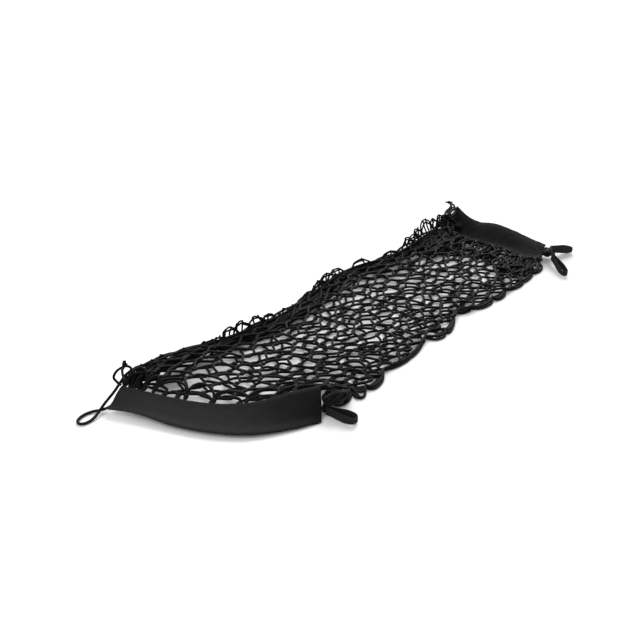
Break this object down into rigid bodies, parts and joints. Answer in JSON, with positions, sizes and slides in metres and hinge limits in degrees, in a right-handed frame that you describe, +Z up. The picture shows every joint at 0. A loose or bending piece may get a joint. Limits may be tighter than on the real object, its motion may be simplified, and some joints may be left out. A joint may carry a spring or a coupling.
{
  "type": "cargo net",
  "caption": "Envelope cargo net of black elastic mesh with fabric end panels, a gathered mouth, a cord loop and tape loops, lying relaxed.",
  "frame": {"origin": "centre of the bounding box in plan, on the surface that the net lies on", "axes": "+X along the net from the end with the cord loop to the far end, +Y across it to the gathered mouth edge, +Z up"},
  "size_m": [0.9533, 0.316, 0.0529],
  "materials": {
    "mesh": "braided elastic strand, matt black",
    "panel_fabric": "plain woven nylon, matt black",
    "elastic_cord": "braided elastic cord, matt black",
    "loop_tape": "woven tape, dull black"
  },
  "bodies": {
    "root": {"net_upper": "mesh", "net_lower": "mesh", "panel_near": "panel_fabric", "panel_far": "panel_fabric", "rim_cord": "elastic_cord", "loop_near_right": "loop_tape", "loop_far_upper": "loop_tape", "loop_far_lower": "loop_tape", "bundle_near_right": "mesh", "bundle_far_right": "mesh", "knot_near_left": "mesh", "knot_far_left": "mesh"}
  },
  "joints": []
}
